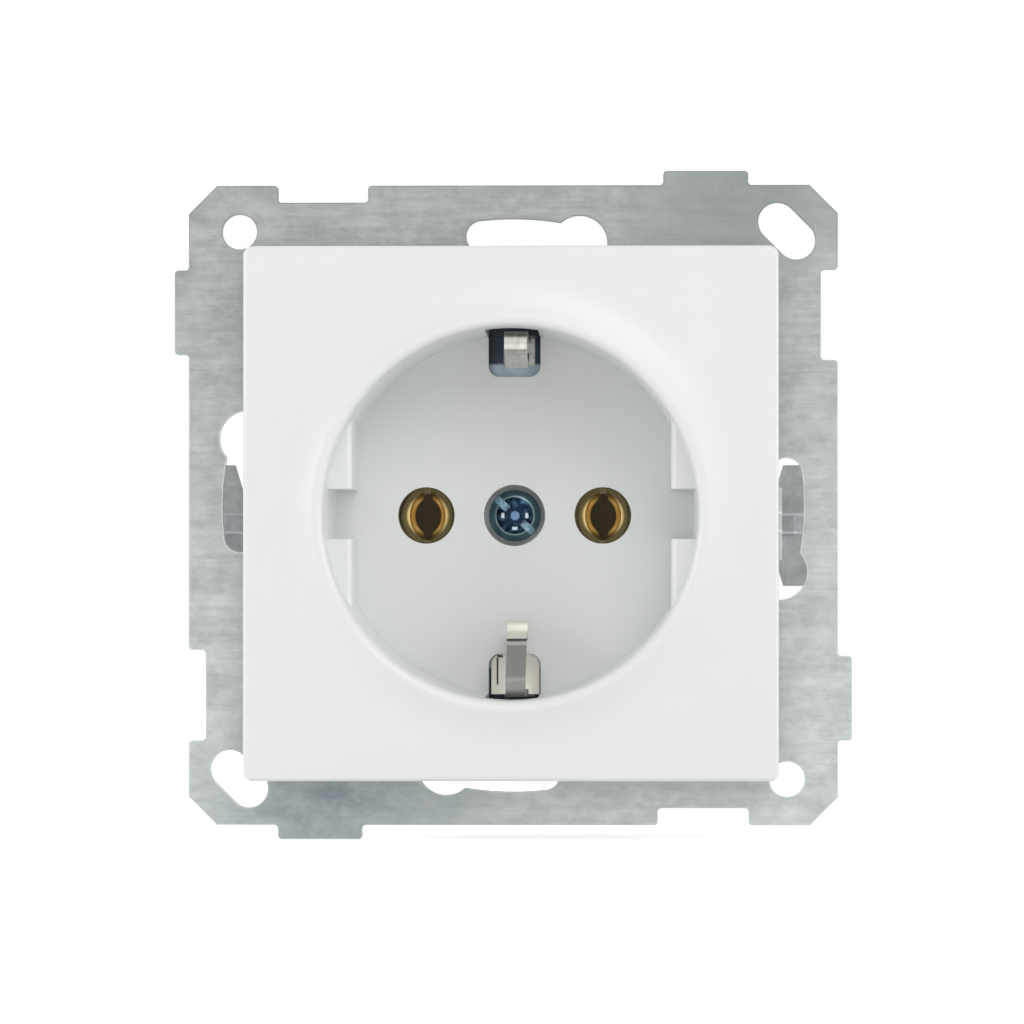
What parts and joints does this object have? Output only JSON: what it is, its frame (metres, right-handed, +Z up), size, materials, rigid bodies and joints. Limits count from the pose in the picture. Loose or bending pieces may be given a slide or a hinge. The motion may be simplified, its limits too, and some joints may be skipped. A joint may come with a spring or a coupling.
{
  "type": "type f wall socket",
  "caption": "Flush wall socket insert with a square white cover, a round well with two pin holes and earth clips, a steel support frame and spreading claws behind.",
  "frame": {"origin": "centre of the support frame on its rear face, in the plane of the wall", "axes": "+Y into the wall, the front faces -Y; +Z up; +X to the right seen from the front"},
  "size_m": [0.072, 0.0441, 0.071],
  "materials": {
    "galvanised_sheet": "dull zinc",
    "white_cover": "satin white",
    "blue_zinc": "blue zinc",
    "bright_steel": "bright",
    "block_moulding": "matt",
    "nickel_strip": "nickel plate",
    "brass_strip": "rolled"
  },
  "bodies": {
    "socket": {"support_frame": "galvanised_sheet", "cover_plate": "white_cover", "well_wall": "white_cover", "well_floor": "white_cover", "cover_screw": "blue_zinc", "base_strap": "blue_zinc", "strap_rivet_top": "bright_steel", "strap_rivet_bottom": "bright_steel", "contact_base": "block_moulding", "rear_cover": "block_moulding", "base_rivet_top": "bright_steel", "base_rivet_bottom": "bright_steel", "earth_bow": "nickel_strip", "line_contact": "brass_strip", "neutral_contact": "brass_strip", "line_clamp": "bright_steel", "neutral_clamp": "bright_steel", "earth_clamp": "bright_steel", "line_terminal_screw": "blue_zinc", "neutral_terminal_screw": "blue_zinc", "earth_terminal_screw": "blue_zinc"},
    "claw_screw_left": {"claw_screw_left": "blue_zinc"},
    "claw_left": {"claw_left": "galvanised_sheet"},
    "claw_screw_right": {"claw_screw_right": "blue_zinc"},
    "claw_right": {"claw_right": "galvanised_sheet"}
  },
  "joints": [
    {"name": "claw_screw_left_turn", "type": "hinge", "parent": "socket", "child": "claw_screw_left", "pos_m": [-0.025, 0, -0.0019], "axis": [0, 1, 0], "range_deg": [-1026, 42]},
    {"name": "claw_left_spread", "type": "hinge", "parent": "socket", "child": "claw_left", "pos_m": [-0.0225, 0.012, -0.0019], "axis": [0, 0, 1], "range_deg": [-25, 1]},
    {"name": "claw_screw_right_turn", "type": "hinge", "parent": "socket", "child": "claw_screw_right", "pos_m": [0.025, 0, -0.0019], "axis": [0, 1, 0], "range_deg": [-616, 452]},
    {"name": "claw_right_spread", "type": "hinge", "parent": "socket", "child": "claw_right", "pos_m": [0.0225, 0.012, -0.0019], "axis": [0, 0, -1], "range_deg": [-15, 11]}
  ],
  "couplings": [
    {"joint": "claw_screw_left_turn", "follows": "claw_left_spread", "ratio": 41},
    {"joint": "claw_screw_right_turn", "follows": "claw_right_spread", "ratio": 41}
  ]
}
